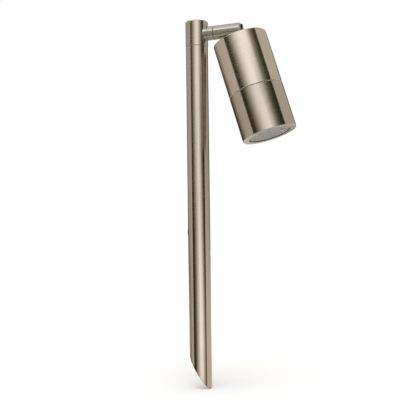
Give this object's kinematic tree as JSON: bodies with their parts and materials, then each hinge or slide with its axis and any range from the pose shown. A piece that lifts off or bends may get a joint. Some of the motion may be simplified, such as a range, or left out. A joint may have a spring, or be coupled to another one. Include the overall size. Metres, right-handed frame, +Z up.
{
  "type": "garden spotlight",
  "caption": "Garden spotlight: slant-cut tube stake for the ground, swivelling side arm and tilting cylindrical lamp head with a flat lens, in brushed satin nickel.",
  "frame": {"origin": "the post axis at the ground line, where the stake enters the ground", "axes": "+Z up along the post, +X along the side arm towards the lamp head"},
  "size_m": [0.1276, 0.0602, 0.4123],
  "materials": {
    "post_nickel": "brushed satin nickel, grain along the tube",
    "arm_nickel": "turned satin nickel",
    "head_nickel": "brushed satin nickel, grain round the head",
    "stud_brass": "machined brass",
    "screw_steel": "stainless steel",
    "sheet_steel": "zinc plated steel",
    "seal_rubber": "matt black rubber",
    "knuckle_dark": "blackened steel",
    "washer_nylon": "black nylon",
    "ceramic_white": "glazed ceramic",
    "lamp_white": "moulded lamp shell",
    "lamp_diffuser": "milky diffuser",
    "lens_frost": "frosted glass",
    "keeper_black": "black anodised"
  },
  "bodies": {
    "stake": {"stake_tube": "post_nickel", "exit_grommet": "seal_rubber", "post_cap": "post_nickel", "cap_ring": "seal_rubber", "arm_stud": "stud_brass", "arm_saddle": "arm_nickel", "lock_collar": "arm_nickel", "swivel_ring": "seal_rubber"},
    "arm": {"fork_arm": "arm_nickel", "swivel_grub": "screw_steel", "pivot_screw": "screw_steel"},
    "head": {"tilt_knuckle": "knuckle_dark", "friction_washers": "washer_nylon", "tail_washer": "sheet_steel", "tail_nut": "sheet_steel", "rear_housing": "head_nickel", "head_grommet": "seal_rubber", "seam_ring": "seal_rubber", "holder_bracket": "sheet_steel", "bracket_screws": "screw_steel", "lamp_holder": "ceramic_white", "holder_screws": "screw_steel", "terminal_block": "ceramic_white", "terminal_screws": "screw_steel", "lamp_base": "lamp_white", "lamp_body": "lamp_white", "lamp_lens": "lamp_diffuser"},
    "front": {"front_housing": "head_nickel", "lens_glass": "lens_frost", "lens_gasket": "seal_rubber", "retaining_ring": "keeper_black"}
  },
  "joints": [
    {"name": "arm_swivel", "type": "hinge", "parent": "stake", "child": "arm", "pos_m": [0, 0, 0.2476], "axis": [1, 0, 0], "range_deg": [-170, 170]},
    {"name": "head_tilt", "type": "hinge", "parent": "arm", "child": "head", "pos_m": [0.0488, 0, 0.2476], "axis": [0, -1, 0], "range_deg": [-17, 160]},
    {"name": "front_unscrew", "type": "slide", "parent": "head", "child": "front", "axis": [0.2999, 0, -0.954], "range_m": [0, 0.06]}
  ]
}
